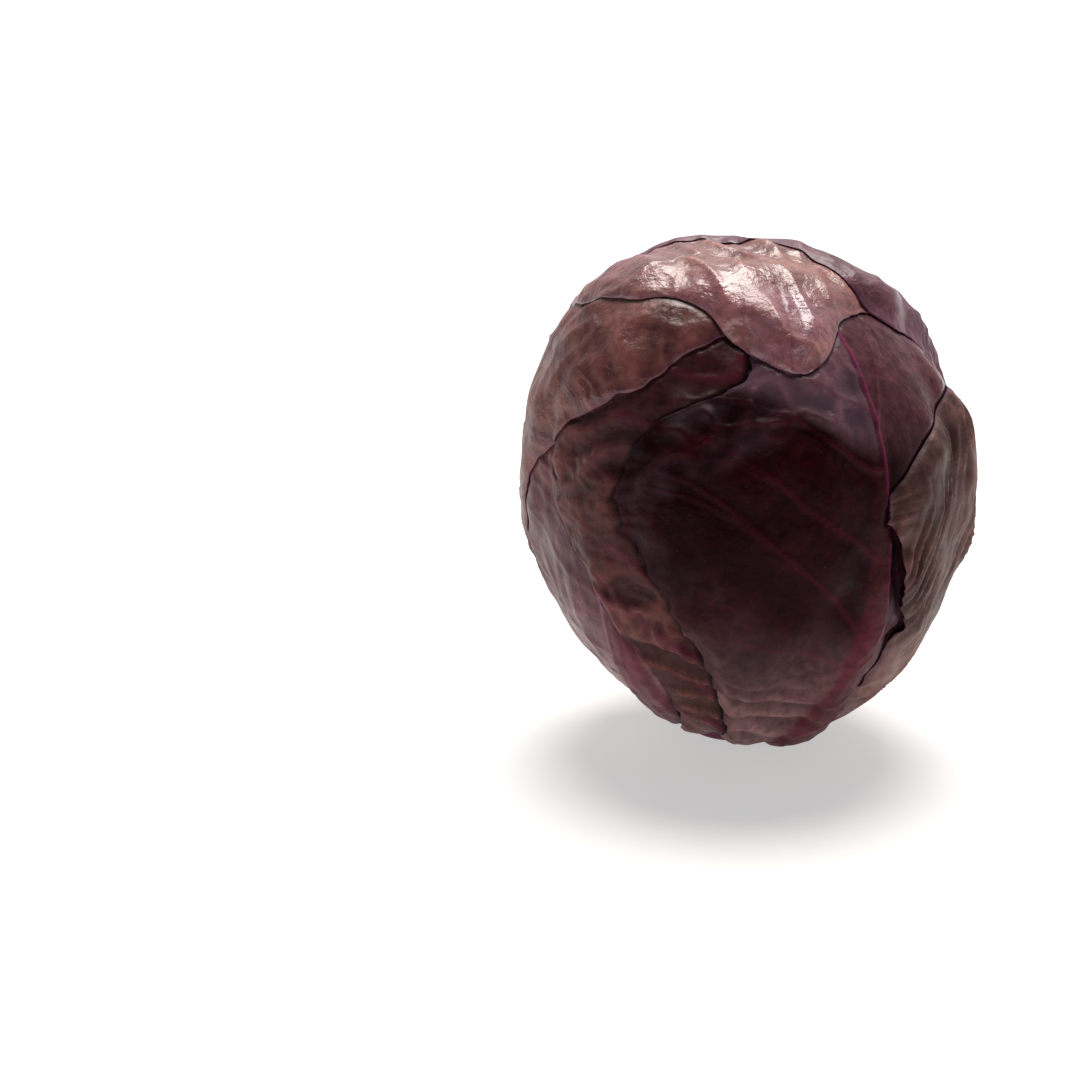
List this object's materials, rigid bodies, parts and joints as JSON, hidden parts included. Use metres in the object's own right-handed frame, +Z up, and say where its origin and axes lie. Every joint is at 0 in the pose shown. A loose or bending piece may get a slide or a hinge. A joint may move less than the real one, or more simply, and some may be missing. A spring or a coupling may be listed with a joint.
{
  "type": "cabbage head",
  "caption": "Whole head of red cabbage, trimmed at the stalk, with broad overlapping wrapper leaves over a tight heart.",
  "frame": {"origin": "under the middle of the head's outline, on the plane of the stalk's cut end", "axes": "+Z up along the head's axis from the stalk to the crown, -Y the side with the big dark leaf whose rib shows, +X to its right"},
  "size_m": [0.1566, 0.1584, 0.1742],
  "materials": {
    "stalk_cut": "matt, pale cut pith with a purple rim",
    "heart_leaf": "waxy purple leaf",
    "leaf": "satin, waxy dark burgundy with magenta ribs",
    "leaf_weathered": "dull brownish mauve with violet margins"
  },
  "bodies": {
    "root": {"stalk": "stalk_cut", "heart": "heart_leaf", "leaf_01_right_inner": "leaf", "leaf_02_back_left_inner": "leaf", "leaf_03_left_low": "leaf", "leaf_04_back_right": "leaf", "leaf_05_front_crumpled": "leaf", "leaf_06_front_main": "leaf", "leaf_07_left_over_crown": "leaf", "leaf_08_right_outer": "leaf_weathered", "leaf_09_crown_tongue": "leaf", "leaf_10_back_outer": "leaf_weathered"}
  },
  "joints": []
}
